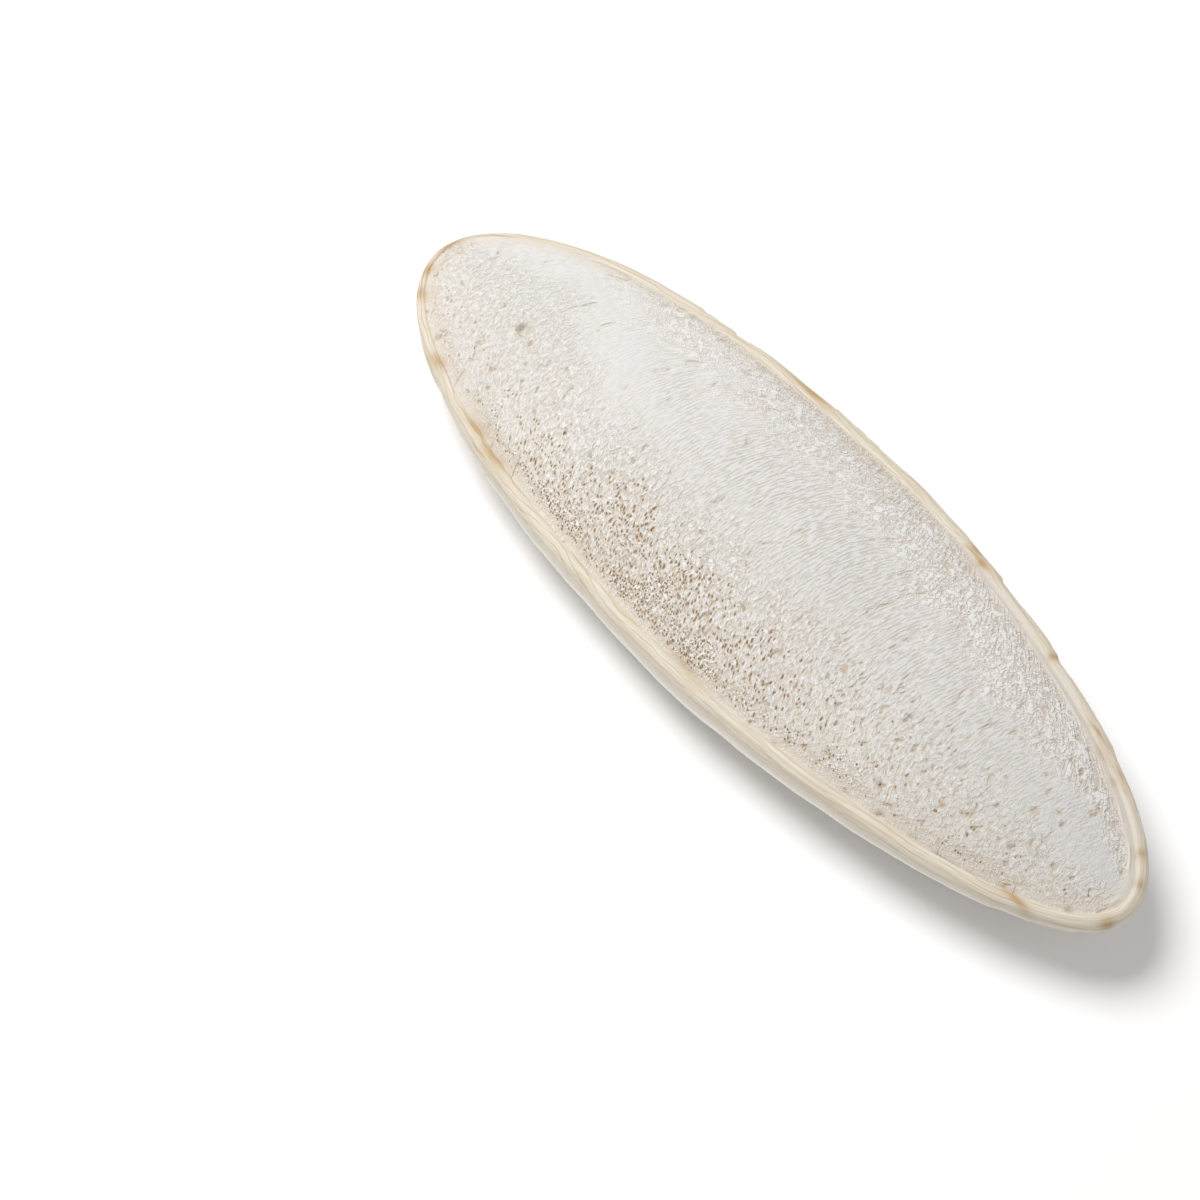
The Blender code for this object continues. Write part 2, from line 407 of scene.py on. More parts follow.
x, y, z = points.T
flat_turn = np.arccos(np.clip((x - FACE_SHIFT) / HALF_FACE, -1.0, 1.0))
half_width = np.maximum(face_edge(flat_turn)[:, 1], LEAST_HALF_WIDTH)
bend = np.where(y > 0.0, FAR_BEND, NEAR_BEND) * (y * MM) ** 2
bend += FAR_CURL * np.maximum(0.0, y * MM - CURL_FROM) ** 3
pits = np.zeros(len(points))
for pit_x, pit_y, length, width, deep in PITS:
    off = ((x - pit_x) / (0.5 * length)) ** 2 + ((y - pit_y) / (0.5 * width)) ** 2
    share = np.clip(1.0 + PIT_FLOOR - off, 0.0, 1.0) ** PIT_WALL
    pits += np.where(over == 0.0, deep * MM * share, 0.0)
stains = np.zeros(len(points))
for stain_x, stain_y, length, width in STAINS:
    stains += np.exp(-((x - stain_x) / length) ** 2 - ((y - stain_y) / width) ** 2)
keep("place", points * MM)
keep("growth", np.column_stack((x * MM - bend, y * MM, np.zeros(len(points)))))
keep("across", np.clip(y / half_width, -MOST_ACROSS, MOST_ACROSS))
keep("past", past * MM)
keep("over", over)
keep("pits", pits)
keep("stains", np.minimum(1.0, stains))

# Where the chalk's marks are
#
# The floors end in fine lines over the middle of the face. Towards the -Y edge they break up into grains
# with open pores between them, and towards the +Y edge into a rough crust. A bare margin follows the rim at
# the narrow end. Each pair is where a zone begins and where it is at its full.
BLUNT_END = (-35.0, -60.0)            # millimetres along the bone
NARROW_END = (35.0, 62.0)
MIDDLE_FROM_BLUNT = (-52.0, -16.0)
MIDDLE_FROM_NARROW = (44.0, -4.0)
CRUST_FROM_BLUNT = (-74.0, -44.0)
CRUST_BROADENS = (-10.0, 40.0)
CRUST_ROUGHENS = (-30.0, 30.0)
MARGIN_BEGINS = (45.0, 75.0)
GRAINY_ACROSS = (0.25, -0.45)         # across the face
BROWN_ACROSS = (-0.05, -0.75)
POROUS_ACROSS = (-0.32, -0.78)
CRUSTY_ACROSS = (0.30, 0.88)
OFF_RIM = (-0.3, -2.2)                # millimetres past the face's edge
MARGIN_WIDTH = (-2.0, -1.0)
MARGIN_LEAN = 40.0                    # how much sooner the margin begins on the +Y side
ZONE_SWAY = 0.4                       # how far a zone's bounds wander across the face
SWAY_SIZE = 7.0


class Tree:
    """Fills one node tree. A value is a number, a tuple, or the socket of a node made before."""

    def __init__(self, tree):
        self.tree = tree

    def feed(self, socket, value):
        if isinstance(value, bpy.types.NodeSocket):
            self.tree.links.new(value, socket)
        else:
            socket.default_value = value

    def maths(self, operation, *values):
        made = self.tree.nodes.new("ShaderNodeMath")
        made.operation = operation
        for socket, value in zip(made.inputs, values):
            self.feed(socket, value)
        return made.outputs[0]

    def total(self, *values):
        result = values[0]
        for value in values[1:]:
            result = self.maths("ADD", result, value)
        return result

    def product(self, *values):
        result = values[0]
        for value in values[1:]:
            result = self.maths("MULTIPLY", result, value)
        return result

    def greater(self, first, second):
        return self.maths("MAXIMUM", first, second)

    def less(self, value):
        """What is left of 1."""
        return self.maths("SUBTRACT", 1.0, value)

    def shifted(self, value, share, amount):
        """The value, moved by the amount where the share is 1."""
        return self.maths("MULTIPLY_ADD", share, amount, value)

    def between(self, share, start, end):
        """Goes from the start, where the share is 0, to the end, where it is 1."""
        return self.maths("MULTIPLY_ADD", share, end - start, start)

    def ramp(self, value, low, high):
        """Rises smoothly from 0, where the value is low, to 1, where it is high."""
        made = self.tree.nodes.new("ShaderNodeMapRange")
        made.interpolation_type = "SMOOTHSTEP"
        self.feed(made.inputs["Value"], value)
        self.feed(made.inputs["From Min"], low)
        self.feed(made.inputs["From Max"], high)
        return made.outputs["Result"]

    def near(self, value, level, far, close):
        """Rises from 0, where the value is far from the level, to 1, where it is close to it."""
        return self.ramp(self.maths("ABSOLUTE", self.maths("SUBTRACT", value, level)), far, close)

    def vector(self, operation, *values):
        made = self.tree.nodes.new("ShaderNodeVectorMath")
        made.operation = operation
        for socket, value in zip(made.inputs, values):
            self.feed(socket, value)
        return made.outputs[0]

    def part(self, vector, axis):
        made = self.tree.nodes.new("ShaderNodeSeparateXYZ")
        self.feed(made.inputs[0], vector)
        return made.outputs[axis]

    def joined(self, x, y, z):
        made = self.tree.nodes.new("ShaderNodeCombineXYZ")
        for socket, value in zip(made.inputs, (x, y, z)):
            self.feed(socket, value)
        return made.outputs[0]

    def number(self, name):
        return self.attribute(name, "FLOAT", "Fac")

    def measure(self, name):
        return self.attribute(name, "FLOAT_VECTOR", "Vector")

    def attribute(self, name, kind, output):
        if self.tree.type == "GEOMETRY":
            made = self.tree.nodes.new("GeometryNodeInputNamedAttribute")
            made.data_type = kind
            made.inputs["Name"].default_value = name
            return made.outputs["Attribute"]
        made = self.tree.nodes.new("ShaderNodeAttribute")
        made.attribute_name = name
        return made.outputs[output]

    def noise(self, place, size, detail=0.0, roughness=0.5, output="Fac"):
        """Noise around 0.5. The size is one length, or one for each axis."""
        made = self.tree.nodes.new("ShaderNodeTexNoise")
        sizes = size if isinstance(size, tuple) else (size, size, size)
        self.feed(made.inputs["Vector"], self.vector("DIVIDE", place, sizes))
        made.inputs["Scale"].default_value = 1.0
        made.inputs["Detail"].default_value = detail
        made.inputs["Roughness"].default_value = roughness
        return made.outputs[output]

    def shaken(self, place, size, amount):
        """The place, moved a little by noise of the given size."""
        shake = self.vector("SUBTRACT", self.noise(place, size, output="Color"), (0.5, 0.5, 0.5))
        return self.vector("ADD", place, self.vector("MULTIPLY", shake, amount))

    def cells(self, place, width, length):
        """The distance to the middle of the nearest grain, and two numbers from 0 to 1 for each grain."""
        made = self.tree.nodes.new("ShaderNodeTexVoronoi")
        made.voronoi_dimensions = "2D"
        self.feed(made.inputs["Vector"], self.vector("DIVIDE", place, (width, length, 1.0)))
        made.inputs["Scale"].default_value = 1.0
        colour = made.outputs["Color"]
        return made.outputs["Distance"], self.part(colour, "X"), self.part(colour, "Y")

    def hollows(self, cells, floor, reach, chance):
        """Round hollows in some of the cells, from the size of their floors, their reach and their chance."""
        distance, luck, girth = cells
        deep = self.ramp(distance, self.between(girth, *reach), floor)
        return self.product(deep, self.ramp(luck, *chance))

    def blend(self, share, first, second):
        """A colour between two."""
        made = self.tree.nodes.new("ShaderNodeMix")
        made.data_type = "RGBA"
        self.feed(made.inputs["Factor"], share)
        self.feed(made.inputs[6], first)
        self.feed(made.inputs[7], second)
        return made.outputs[2]


class Zones:
    """Where each kind of mark is on the face: from 0 outside its zone to 1 where it is at its full."""

    def __init__(self, tree):
        self.place = tree.measure("place")
        self.growth = tree.measure("growth")
        self.along = tree.part(self.place, "X")
        self.past_edge = tree.number("past")
        straight = tree.number("across")
        sway = tree.between(tree.noise(self.place, SWAY_SIZE, detail=2.0), -ZONE_SWAY, ZONE_SWAY)
        self.across = tree.total(straight, sway)
        self.blunt = tree.ramp(self.along, *BLUNT_END)
        self.narrow = tree.ramp(self.along, *NARROW_END)
        middle = tree.product(
            tree.ramp(self.along, *MIDDLE_FROM_BLUNT), tree.ramp(self.along, *MIDDLE_FROM_NARROW)
        )
        self.narrow_side = tree.shifted(self.along, straight, MARGIN_LEAN)
        self.margin = tree.product(
            tree.ramp(self.past_edge, *MARGIN_WIDTH), tree.ramp(self.narrow_side, *MARGIN_BEGINS)
        )
        self.within = tree.less(self.margin)
        self.off_rim = tree.ramp(self.past_edge, *OFF_RIM)
        self.grainy = tree.product(
            tree.ramp(tree.shifted(self.across, self.blunt, -0.60), *GRAINY_ACROSS),
            tree.between(middle, 0.7, 1.0),
            self.within,
        )
        self.porous = tree.product(
            tree.ramp(self.across, *POROUS_ACROSS), tree.between(middle, 0.25, 1.0), self.off_rim
        )
        self.browned = tree.ramp(tree.shifted(self.across, self.blunt, -0.30), *BROWN_ACROSS)
        broader = tree.shifted(self.across, tree.ramp(self.along, *CRUST_BROADENS), 0.25)
        self.crusty = tree.product(
            tree.ramp(broader, *CRUSTY_ACROSS),
            tree.ramp(self.along, *CRUST_FROM_BLUNT),
            tree.between(tree.ramp(self.along, *CRUST_ROUGHENS), 0.85, 1.0),
            self.within,
        )


# Growth lines
#
# One fine line is the end of one floor. Every few millimetres a floor has broken off in a low ledge, with a
# crack along it.
LINE_SPACING = 0.62                   # millimetres
LINE_VALLEY = (0.32, 0.06)            # from its foot to its floor, in spacings
LINE_BOW = 1.2                        # how far a line wanders
BOW_SIZE = (4.0, 6.0, 1.0)            # along the growth and across it
LINE_JITTER = (0.6, 1.8)              # how far it shakes, where the face is smooth and where it is grainy
JITTER_SIZE = (1.0, 2.2, 1.0)
PIECE_SIZE = (0.5, 1.8, 1.0)          # the pieces that a line is broken into
PIECES = (0.40, 0.56)
STRAND_SIZE = (0.36, 1.7, 1.0)        # short hollows among the lines
STRANDS = (0.48, 0.32)
LINES_FROM_BLUNT = (-60.0, 40.0)      # where the lines are strong, along the bone and in patches
LINES_FROM_NARROW = (75.0, 45.0)
PATCH_SIZE = (14.0, 9.0, 9.0)
PATCHES = (1.25, 2.10)
FAINTEST = 0.28
LEDGE_SPACING = 6.5
LEDGE_WIDTH = (0.0, 0.05)             # in spacings
CRACK_BEGINS = (0.0, 0.02)
CRACK_ENDS = (0.075, 0.03)
LEDGE_SWEEP = 9.0                     # how far a ledge wanders
SWEEP_SIZE = (6.0, 8.0, 1.0)
BREAK_SIZE = (6.0, 5.0, 5.0)          # the stretches where a floor has broken off
BREAKS = (0.52, 0.63)


def growth_lines(tree, zone):
    """The valleys between the lines, the ledges, and the cracks along them."""
    forward = tree.part(zone.growth, "X")
    bow = tree.product(tree.noise(zone.growth, BOW_SIZE), LINE_BOW)
    shake = tree.noise(zone.growth, JITTER_SIZE, detail=1.0)
    jitter = tree.product(shake, tree.between(zone.grainy, *LINE_JITTER))
    line = tree.maths("DIVIDE", tree.total(forward, bow, jitter), LINE_SPACING)
    valley = tree.ramp(tree.maths("PINGPONG", line, 0.5), *LINE_VALLEY)
    unbroken = tree.ramp(tree.noise(zone.growth, PIECE_SIZE, detail=2.0), *PIECES)
    strand = tree.ramp(tree.noise(zone.growth, STRAND_SIZE, detail=1.0), *STRANDS)
    strength = tree.total(
        tree.noise(zone.place, PATCH_SIZE, detail=1.0),
        tree.ramp(zone.along, *LINES_FROM_BLUNT),
        tree.ramp(zone.along, *LINES_FROM_NARROW),
    )
    lines = tree.product(
        tree.greater(tree.product(valley, unbroken), strand),
        tree.between(tree.ramp(strength, *PATCHES), FAINTEST, 1.0),
        tree.between(zone.narrow, 1.0, 0.7),
        zone.within,
        tree.less(tree.greater(tree.product(zone.grainy, 0.8), tree.product(zone.crusty, 0.6))),
    )
    swept = tree.product(tree.noise(zone.growth, SWEEP_SIZE, detail=2.0), LEDGE_SWEEP)
    shelf = tree.maths("FRACT", tree.maths("DIVIDE", tree.total(forward, swept), LEDGE_SPACING))
    broken = tree.ramp(tree.noise(zone.place, BREAK_SIZE, detail=1.0), *BREAKS)
    ledges = tree.product(tree.ramp(shelf, *LEDGE_WIDTH), tree.less(shelf), broken)
    cracks = tree.product(tree.ramp(shelf, *CRACK_BEGINS), tree.ramp(shelf, *CRACK_ENDS), broken, unbroken)
    return lines, ledges, cracks


# Grains and pores
#
# Worn floors crumble into long grains, and into short ones beside the rim. Where a grain has come out, an
# open pore is left.
LONG_GRAIN = (0.62, 0.95)             # millimetres along the growth and across it
LONG_SHAKE = (0.5, 0.9, 0.0)
SHORT_GRAIN = (0.48, 0.56)
SHORT_SHAKE = (0.3, 0.3, 0.0)
SHORT_FROM = (-0.76, -0.90)           # across the face
GAP_SIZE = (0.50, 0.90, 1.0)          # of the noise that opens the gaps between long grains
WIDE_GAPS = (0.50, 0.39)
FINE_GAPS = (0.56, 0.07, 0.01)        # a level of that noise, how far from it they begin, and their floor
WORM_SIZE = 0.60                      # of the noise that winds between short grains
WORMS = (0.5, 0.09, 0.01)
WORM_SHAKE = (0.8, 0.8, 0.0)
CELL_GAPS = (0.50, 0.16)
PORE_FLOOR = 0.14                     # in cells
LONG_PORES = (0.26, 0.52)             # how far the smallest and the largest reach
SHORT_PORES = (0.24, 0.46)
MOST_OPEN = 0.80                      # the share of grains that have come out, where the most have
PART_OPEN = 0.15                      # and the share that are on their way


def grains(tree, zone):
    """The grooves around the grains, and the pores."""
    long_place = tree.shaken(zone.growth, 1.2, LONG_SHAKE)
    long_cells = tree.cells(long_place, *LONG_GRAIN)
    short_cells = tree.cells(tree.shaken(zone.growth, 0.8, SHORT_SHAKE), *SHORT_GRAIN)
    beside_rim = tree.ramp(zone.across, *SHORT_FROM)
    elsewhere = tree.less(beside_rim)
    grain = tree.noise(long_place, GAP_SIZE, detail=1.0)
    long_gaps = tree.greater(tree.product(tree.near(grain, *FINE_GAPS), 0.6), tree.ramp(grain, *WIDE_GAPS))
    worm = tree.noise(tree.shaken(zone.place, 1.5, WORM_SHAKE), WORM_SIZE, detail=1.0)
    short_gaps = tree.greater(tree.ramp(short_cells[0], *CELL_GAPS), tree.near(worm, *WORMS))
    grooves = tree.product(zone.grainy, tree.total(
        tree.product(long_gaps, elsewhere),
        tree.product(short_gaps, tree.between(zone.off_rim, 0.4, 1.0), beside_rim),
    ))
    shut = tree.less(tree.product(zone.porous, MOST_OPEN))
    chance = (shut, tree.total(shut, PART_OPEN))
    pores = tree.product(tree.between(zone.blunt, 1.0, 0.6), tree.total(
        tree.product(tree.hollows(long_cells, PORE_FLOOR, LONG_PORES, chance), elsewhere),
        tree.product(tree.hollows(short_cells, PORE_FLOOR, SHORT_PORES, chance), beside_rim),
    ))
    return grooves, pores


# Crust, lumps and holes
#
# Crumbs of chalk cling to the +Y side. Small worn hollows are strewn over the -Y side and the narrow end,
# with a band of closer ones before the narrow end.
CRUMB_SIZE = 1.10                     # millimetres
CRUMB_SHAKE = (1.0, 1.0, 0.0)
WIDE_CREVICES = (0.46, 0.34)
FINE_CREVICES = (0.53, 0.06, 0.01)
LUMP_SIZE = (1.1, 2.0, 1.0)
DIMPLE_CELL = (3.0, 3.6)              # about half of the cells hold a dimple
DIMPLE_SHAKE = (1.6, 1.6, 0.0)
DIMPLE_FLOOR = 0.05                   # in cells
DIMPLE_REACH = (0.10, 0.24)
DIMPLE_CHANCE = (0.45, 0.55)
DIMPLES_ACROSS = (0.1, -0.3)
HOLE_CELL = (1.3, 2.0)
HOLE_SHAKE = (0.8, 1.2, 0.0)
HOLE_FLOOR = 0.07
HOLE_REACH = (0.16, 0.32)
HOLE_CHANCE = (0.48, 0.58)
HOLES_FROM_BLUNT = (12.0, 28.0)
HOLES_FROM_NARROW = (68.0, 52.0)
HOLES_ACROSS = (-0.05, -0.25)
HOLES_OFF_RIM = (-0.80, -0.55)


def crumbs(tree, zone):
    """The gaps around the crust's crumbs, and the hollows between lumps."""
    crumb = tree.noise(tree.shaken(zone.place, 1.8, CRUMB_SHAKE), CRUMB_SIZE, detail=1.3, roughness=0.55)
    fine = tree.product(tree.near(crumb, *FINE_CREVICES), 0.8)
    crust = tree.product(
        tree.greater(tree.ramp(crumb, *WIDE_CREVICES), fine),
        tree.greater(zone.crusty, tree.product(zone.narrow, zone.within, 0.25)),
    )
    rough = tree.greater(zone.grainy, zone.crusty)
    lumps = tree.product(tree.noise(zone.growth, LUMP_SIZE, detail=1.0), tree.between(rough, 0.1, 1.0))
    return crust, lumps


def holes(tree, zone):
    """The small worn hollows, strewn and in their band."""
    dimple_cells = tree.cells(tree.shaken(zone.place, 1.2, DIMPLE_SHAKE), *DIMPLE_CELL)
    dimples = tree.product(
        tree.hollows(dimple_cells, DIMPLE_FLOOR, DIMPLE_REACH, DIMPLE_CHANCE),
        tree.greater(tree.ramp(zone.across, *DIMPLES_ACROSS), zone.narrow),
        zone.within,
    )
    hole_cells = tree.cells(tree.shaken(zone.growth, 1.2, HOLE_SHAKE), *HOLE_CELL)
    band = tree.product(
        tree.hollows(hole_cells, HOLE_FLOOR, HOLE_REACH, HOLE_CHANCE),
        tree.ramp(zone.along, *HOLES_FROM_BLUNT),
        tree.ramp(zone.along, *HOLES_FROM_NARROW),
        tree.ramp(zone.across, *HOLES_ACROSS),
        tree.ramp(zone.across, *HOLES_OFF_RIM),
    )
    return tree.greater(dimples, band)


# The lip
#
# Along the bare margin runs a thin raised line, where the chalk's last floors end a little way in from the
# horn. It is broken here and there.
LIP_INWARD = (0.6, 2.2)               # millimetres from the rim, at the least and at the most
LIP_WIDTH = (0.40, 0.05)              # from its middle to its foot, and to where it is at its full
LIP_PIECES = (0.42, 0.56)


def raised_lip(tree, zone):
    """The thin raised line."""
    from_lip = tree.total(zone.past_edge, tree.between(tree.noise(zone.place, 6.0), *LIP_INWARD))
    whole = tree.ramp(tree.noise(zone.place, 5.0, detail=1.0), *LIP_PIECES)
    return tree.product(tree.near(from_lip, 0.0, *LIP_WIDTH), zone.margin, whole)


def chalk_marks(tree, zone):
    """Every mark of the white face, each from 0 where there is none to 1 where it is deepest."""
    lines, ledges, cracks = growth_lines(tree, zone)
    grooves, pores = grains(tree, zone)
    crust, lumps = crumbs(tree, zone)
    return {
        "lines": lines,
        "grooves": grooves,
        "pores": pores,
        "crust": crust,
        "lumps": lumps,
        "dimples": holes(tree, zone),
        "ledges": ledges,
        "cracks": cracks,
        "lip": raised_lip(tree, zone),
    }


# The horny rim
#
# Horn lies on the chalk's edge in long thin layers that run along the rim. They lie over each other like
# tongues and end in low steps.
LAYER_WIDTH = 1.1                     # millimetres across the rim
LAYER_DRIFT = 4.5                     # how many layers begin or end along the rim
DRIFT_LENGTH = 16.0
TONGUES = 1.1                         # how far their ends are drawn out, in layers
TONGUE_LENGTH = 4.5
STREAK_LENGTH = 9.0
STREAK_WIDTH = 0.34


def rim_layers(tree):
    """Long layers: from 0 at a layer's lower edge to 1 at its top, and the fine streaks in them."""
    place = tree.measure("place")
    past_edge = tree.number("past")
    drift = tree.product(tree.noise(place, DRIFT_LENGTH, detail=1.0), LAYER_DRIFT)
    tongues = tree.product(tree.noise(place, TONGUE_LENGTH, detail=2.0), TONGUES)
    layer = tree.maths("FRACT", tree.total(tree.maths("DIVIDE", past_edge, LAYER_WIDTH), drift, tongues))
    along = tree.vector("DIVIDE", place, (STREAK_LENGTH, STREAK_LENGTH, STREAK_LENGTH))
    inward = tree.maths("DIVIDE", past_edge, STREAK_WIDTH)
    streaks = tree.noise(tree.joined(tree.part(along, "X"), tree.part(along, "Y"), inward), 1.0, detail=2.0)
    return layer, streaks


# The hard back
#
# The shield under the chalk is set with fine granules. Its growth shows in faint arcs that bow to the blunt
# end.
ARC_SPACING = 2.2                     # millimetres
ARC_VALLEY = (0.40, 0.08)             # from its foot to its floor, in spacings
ARC_BEND = 0.05
ARC_SWAY = 2.4
ARC_SWAY_SIZE = 7.0
GRANULE = 0.75
GRANULE_FOOT = (0.25, 0.65)           # from its top to the hollow around it, in granules
GRANULE_SHAKE = (0.4, 0.4, 0.0)


def back_marks(tree):
    """The hollows between granules, and the hollows between growth arcs."""
    place = tree.measure("place")
    wide = tree.part(place, "Y")
    bow = tree.product(wide, wide, -ARC_BEND)
    sway = tree.product(tree.noise(place, ARC_SWAY_SIZE, detail=2.0), ARC_SWAY)
    arc = tree.maths("DIVIDE", tree.total(tree.part(place, "X"), bow, sway), ARC_SPACING)
    arcs = tree.ramp(tree.maths("PINGPONG", arc, 0.5), *ARC_VALLEY)
    granule, _, _ = tree.cells(tree.shaken(place, 1.5, GRANULE_SHAKE), GRANULE, GRANULE)
    return tree.ramp(granule, *GRANULE_FOOT), arcs


# Carving
#
# The marks that are deep enough to catch the light are cut into the mesh by Geometry Nodes, along the
# surface's own normals. The lip stands up instead.
DEPTHS = {
    "lines": 0.00003,
    "grooves": 0.00010,
    "pores": 0.00010,
    "crust": 0.00018,
    "lumps": 0.00020,
    "dimples": 0.00022,
    "ledges": 0.00012,
    "lip": -0.00008,
}
LAYER_DEPTH = 0.00010
FACE_BEGINS = (0.0, -0.3)             # millimetres past the face's edge
HORN_BEGINS = (0.2, 0.6)
HORN_ENDS = (2.6, 1.8)                # as over counts

carving = bpy.data.node_groups.new("carving", "GeometryNodeTree")
carving.interface.new_socket("Geometry", in_out="INPUT", socket_type="NodeSocketGeometry")
depth_inputs = {}
for name, depth in (*DEPTHS.items(), ("layers", LAYER_DEPTH)):
    made = carving.interface.new_socket("Depth of " + name, in_out="INPUT", socket_type="NodeSocketFloat")
    depth_inputs[made.identifier] = depth
material_input = carving.interface.new_socket("Material", in_out="INPUT", socket_type="NodeSocketMaterial")
carving.interface.new_socket("Geometry", in_out="OUTPUT", socket_type="NodeSocketGeometry")
tree = Tree(carving)
given = carving.nodes.new("NodeGroupInput").outputs
marks = chalk_marks(tree, Zones(tree))
layer, streaks = rim_layers(tree)
past_edge = tree.number("past")
on_face = tree.ramp(past_edge, *FACE_BEGINS)
on_horn = tree.product(tree.ramp(past_edge, *HORN_BEGINS), tree.ramp(tree.number("over"), *HORN_ENDS))
cuts = [tree.product(marks[name], given["Depth of " + name]) for name in DEPTHS]
cuts.append(tree.product(tree.number("pits"), 1.0 / MM))
depth = tree.total(
    tree.product(tree.total(*cuts), on_face),
    tree.product(layer, given["Depth of layers"], on_horn),
)
offset = carving.nodes.new("ShaderNodeVectorMath")
offset.operation = "SCALE"
tree.feed(offset.inputs[0], carving.nodes.new("GeometryNodeInputNormal").outputs[0])
tree.feed(offset.inputs["Scale"], tree.product(depth, -1.0))
moved = carving.nodes.new("GeometryNodeSetPosition")
tree.feed(moved.inputs["Geometry"], given["Geometry"])
tree.feed(moved.inputs["Offset"], offset.outputs[0])
realized = carving.nodes.new("GeometryNodeRealizeInstances")
tree.feed(realized.inputs[0], moved.outputs[0])
dressed = carving.nodes.new("GeometryNodeSetMaterial")
tree.feed(dressed.inputs["Geometry"], realized.outputs[0])
tree.feed(dressed.inputs["Material"], given["Material"])
tree.feed(carving.nodes.new("NodeGroupOutput").inputs[0], dressed.outputs[0])

# Colour
#
# The chalk is a nearly neutral white, browner in its pores and grooves, partly its own brown and partly
# painted shade in those hollows, and painted darker towards the narrow end as painted shade of the lamp's
# light falling off. The horn is cream with amber stains, and the back is a paler cream, with painted shade,
# darker and yellower, in its hollows.
CHALK = (0.700, 0.691, 0.675, 1.0)
# painted shade: the chalk darker at the narrow end, where the lamp's light falls off
CHALK_SHADED_END = (0.628, 0.624, 0.613, 1.0)    # at the narrow end
CHALK_GRAINY = (0.845, 0.830, 0.802, 1.0)
CHALK_CRUSTY = (0.800, 0.785, 0.765, 1.0)
CHALK_EDGE = (0.70, 0.62, 0.51, 1.0)
LIP = (0.76, 0.74, 0.71, 1.0)
# Grooves and pores: partly the chalk's own brown, partly painted shade in those hollows.
GROOVE = (0.50, 0.365, 0.205, 1.0)
PORE = (0.32, 0.165, 0.040, 1.0)
CRUST = (0.48, 0.365, 0.245, 1.0)
CREAM = (0.64, 0.56, 0.43, 1.0)
IVORY = (0.71, 0.655, 0.56, 1.0)
AMBER = (0.44, 0.26, 0.085, 1.0)
SHIELD = (0.90, 0.865, 0.81, 1.0)
# painted shade in the hollows of the lower side and back
SHIELD_HOLLOW_SHADE = (0.70, 0.62, 0.50, 1.0)
CHALK_ROUGHNESS = 0.88
HORN_ROUGHNESS = 0.53
BUMP_HEIGHT = 0.001                       # metres, for a height of 1

# where the painted shade of the narrow end begins and is full, and where its second step does
NARROW_SHADE_SPAN = (-50.0, 85.0)                      # millimetres along the bone
NARROW_SHADE_SPAN_MORE = (35.0, 80.0)
CREAMY_EDGE = (-4.0, 0.0)                 # past the face's edge
SHIELD_BEGINS = (0.95, 1.30)              # as over counts
LOW_BEGINS = (1.5, 2.6)
STREAK_TONES = (0.35, 0.65)               # the noise of the streaks, from cream to ivory
SEAM = (0.86, 0.98)                       # the top of a layer, where it is amber
SEAM_LENGTH = 11.0
SEAM_STRETCHES = (0.46, 0.60)
HORN_OVERLAP = (-0.12, -0.52)             # where the horn begins, on the -Y side and on the +Y side
HORN_WHOLE = 0.12                         # and where it is whole, in millimetres past the face's edge
SIDES = (-0.4, 0.4)                       # from the one side to the other, across the face
FRAY = 0.7                                # how far the horn's thin inner edge wanders
FRAY_SIZE = 4.0
MARGIN_FRAY = -0.9                        # how much farther out it lies beside the bare margin

material = bpy.data.materials.new("bone")
material.use_nodes = True
shader = material.node_tree.nodes["Principled BSDF"]
tree = Tree(material.node_tree)
zone = Zones(tree)
marks = chalk_marks(tree, zone)
layer, streaks = rim_layers(tree)
hollows, arcs = back_marks(tree)
over_edge = tree.number("over")
stains = tree.number("stains")

# Painted shade: the chalk darkens towards the narrow end, in two steps, standing in for the lamp's light
# falling off along the bone.
chalk = tree.blend(tree.ramp(zone.along, *NARROW_SHADE_SPAN), CHALK, CHALK_SHADED_END)
chalk = tree.blend(tree.product(zone.grainy, tree.between(zone.blunt, 0.9, 0.55)), chalk, CHALK_GRAINY)
chalk = tree.blend(tree.product(zone.crusty, 0.8), chalk, CHALK_CRUSTY)
# The second step of the painted shade towards the narrow end.
chalk = tree.blend(tree.product(tree.ramp(zone.along, *NARROW_SHADE_SPAN_MORE), 0.35), chalk, CHALK_SHADED_END)
chalk = tree.blend(tree.product(tree.ramp(zone.past_edge, *CREAMY_EDGE), 0.55), chalk, CHALK_EDGE)
chalk = tree.blend(tree.product(zone.margin, tree.ramp(streaks, 0.65, 0.40), 0.45), chalk, CHALK_EDGE)
chalk = tree.blend(tree.product(marks["lip"], 0.40), chalk, LIP)
chalk = tree.blend(tree.product(tree.ramp(tree.number("pits"), 0.0, 0.3), 0.10), chalk, GROOVE)
chalk = tree.blend(tree.product(stains, 0.45), chalk, AMBER)
# The browns of the grooves and pores are partly the chalk's own brown and partly painted shade in those
# hollows.
for name, strength, colour in (
    ("lines", 0.42, GROOVE),
    ("grooves", tree.between(zone.browned, 0.38, 0.64), GROOVE),
    ("crust", 0.52, CRUST),
    ("dimples", 0.55, GROOVE),
    ("cracks", 0.50, GROOVE),
    ("pores", 0.92, PORE),
):
    chalk = tree.blend(tree.product(marks[name], strength), chalk, colour)

horn = tree.blend(tree.ramp(streaks, *STREAK_TONES), CREAM, IVORY)
horn = tree.blend(tree.product(tree.ramp(layer, 0.60, 1.0), 0.18), horn, AMBER)
stretches = tree.ramp(tree.noise(zone.place, SEAM_LENGTH, detail=1.0), *SEAM_STRETCHES)
seams = tree.product(tree.ramp(layer, *SEAM), stretches)
horn = tree.blend(tree.product(seams, 0.55), horn, AMBER)
stained = tree.product(stains, tree.between(tree.ramp(streaks, 0.62, 0.42), 0.7, 1.0))
horn = tree.blend(tree.product(stained, 0.9), horn, AMBER)

